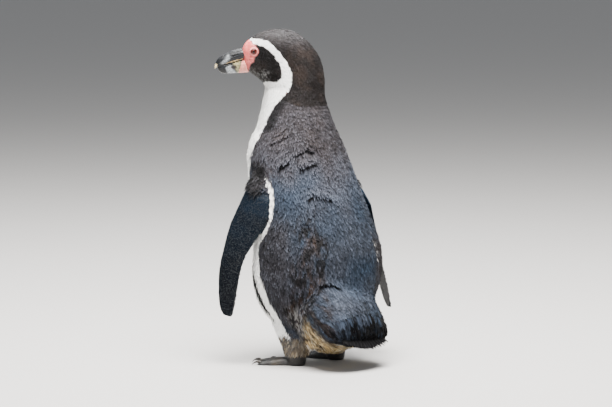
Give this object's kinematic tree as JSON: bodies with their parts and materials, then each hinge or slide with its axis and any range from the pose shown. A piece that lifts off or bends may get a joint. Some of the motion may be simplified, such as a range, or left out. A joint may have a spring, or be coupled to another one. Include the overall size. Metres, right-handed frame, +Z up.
{
  "type": "standing humboldt penguin model",
  "caption": "Life-size still model of an adult Humboldt penguin standing on both webbed feet, head turned to its left, flippers hanging and short tail swung aside.",
  "frame": {"origin": "on the floor, under the middle of the bird's outer box", "axes": "+Z up, the trunk faces -Y, the bird's own left is +X"},
  "size_m": [0.2712, 0.235, 0.49],
  "materials": {
    "feathers_mantle": "overlapping short grey-brown and slate feathers with worn brown edges",
    "feathers_hood": "very short, dense, dull dark grey-brown feathers",
    "feathers_white": "short, dense, clean white feathers with a soft sheen",
    "feathers_flipper": "tiny scale-like dark slate feathers, nearly matte",
    "feathers_tail": "longer blue-grey coverts over stiff blackish tail feathers",
    "feathers_vent": "loose feathers stained ochre",
    "bare_skin": "bare pink facial skin, finely creased, with a pale ring round the eye",
    "bill_horn": "ridged blackish horn with pale bars and a tan cutting edge",
    "foot_skin": "pebbled blackish skin mottled with pinkish and olive-ochre patches",
    "claw_horn": "smooth black horn",
    "eye": "wet, glossy, dark red-brown iris round a black pupil"
  },
  "bodies": {
    "root": {"trunk": "feathers_mantle", "neck": "feathers_hood", "head": "feathers_hood", "bill_upper": "bill_horn", "bill_lower": "bill_horn", "tail": "feathers_tail", "eye_left": "eye", "flipper_left": "feathers_flipper", "leg_left": "feathers_mantle", "foot_left": "foot_skin", "claw_left_inner": "claw_horn", "claw_left_middle": "claw_horn", "claw_left_outer": "claw_horn", "eye_right": "eye", "flipper_right": "feathers_flipper", "leg_right": "feathers_mantle", "foot_right": "foot_skin", "claw_right_inner": "claw_horn", "claw_right_middle": "claw_horn", "claw_right_outer": "claw_horn"}
  },
  "joints": []
}
